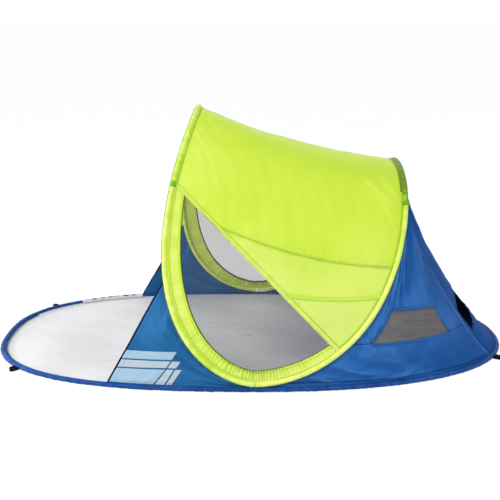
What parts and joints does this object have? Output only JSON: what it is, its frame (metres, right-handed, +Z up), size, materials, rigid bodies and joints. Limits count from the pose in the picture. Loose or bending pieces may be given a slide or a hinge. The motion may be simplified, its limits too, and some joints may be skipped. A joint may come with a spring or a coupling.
{
  "type": "pop-up beach shelter",
  "caption": "Pop-up beach shelter: a saddle canopy strung between sprung hoops, mesh sides, a closed tail with screened windows, and a floor that runs on as an open apron.",
  "frame": {"origin": "middle of the floor oval, on the ground", "axes": "+X to the closed tail, -X to the open apron, +Y to the far side, +Z up"},
  "size_m": [1.95, 1.1, 0.9193],
  "materials": {
    "floor_sheet": "silvered polyethylene weave",
    "rim_sleeve": "woven polyester sleeve, satin",
    "hoop_sleeve": "woven polyester sleeve, satin",
    "canopy_cloth": "thin coated polyester, satin",
    "gusset_cloth": "thin coated polyester, satin",
    "side_mesh": "fine knitted mesh",
    "wing_cloth": "thin coated polyester, satin",
    "binding_tape": "woven tape, matte",
    "tail_cloth": "thin coated polyester, satin",
    "window_mesh": "fine knitted mesh",
    "loop_tape": "woven tape, matte",
    "tie_tape": "woven tape, matte"
  },
  "bodies": {
    "root": {"floor_sheet": "floor_sheet", "rim_apron_near": "rim_sleeve", "rim_apron_nose": "rim_sleeve", "rim_apron_far": "rim_sleeve", "rim_tail_near": "rim_sleeve", "rim_tail_end": "rim_sleeve", "rim_tail_far": "rim_sleeve", "front_hoop_near": "hoop_sleeve", "front_hoop_top": "hoop_sleeve", "front_hoop_far": "hoop_sleeve", "rear_hoop_near": "hoop_sleeve", "rear_hoop_top": "hoop_sleeve", "rear_hoop_far": "hoop_sleeve", "canopy_roof": "canopy_cloth", "canopy_side_near": "canopy_cloth", "canopy_side_far": "canopy_cloth", "canopy_corner_near": "canopy_cloth", "canopy_corner_far": "canopy_cloth", "gusset_front_near": "gusset_cloth", "gusset_front_far": "gusset_cloth", "gusset_rear_near": "gusset_cloth", "gusset_rear_far": "gusset_cloth", "side_mesh_near": "side_mesh", "side_mesh_far": "side_mesh", "wing_near": "wing_cloth", "wing_far": "wing_cloth", "wing_binding_near": "binding_tape", "wing_binding_far": "binding_tape", "tail_wall_near": "tail_cloth", "tail_wall_far": "tail_cloth", "tail_window_near": "window_mesh", "tail_window_far": "window_mesh", "tail_panel": "tail_cloth", "tail_vent": "window_mesh", "peg_loop_front_near": "loop_tape", "peg_loop_front_far": "loop_tape", "peg_loop_rear_near": "loop_tape", "peg_loop_rear_far": "loop_tape", "hoop_tie_front_near": "tie_tape", "hoop_tie_front_far": "tie_tape", "hoop_tie_rear_near": "tie_tape", "hoop_tie_rear_far": "tie_tape"}
  },
  "joints": []
}
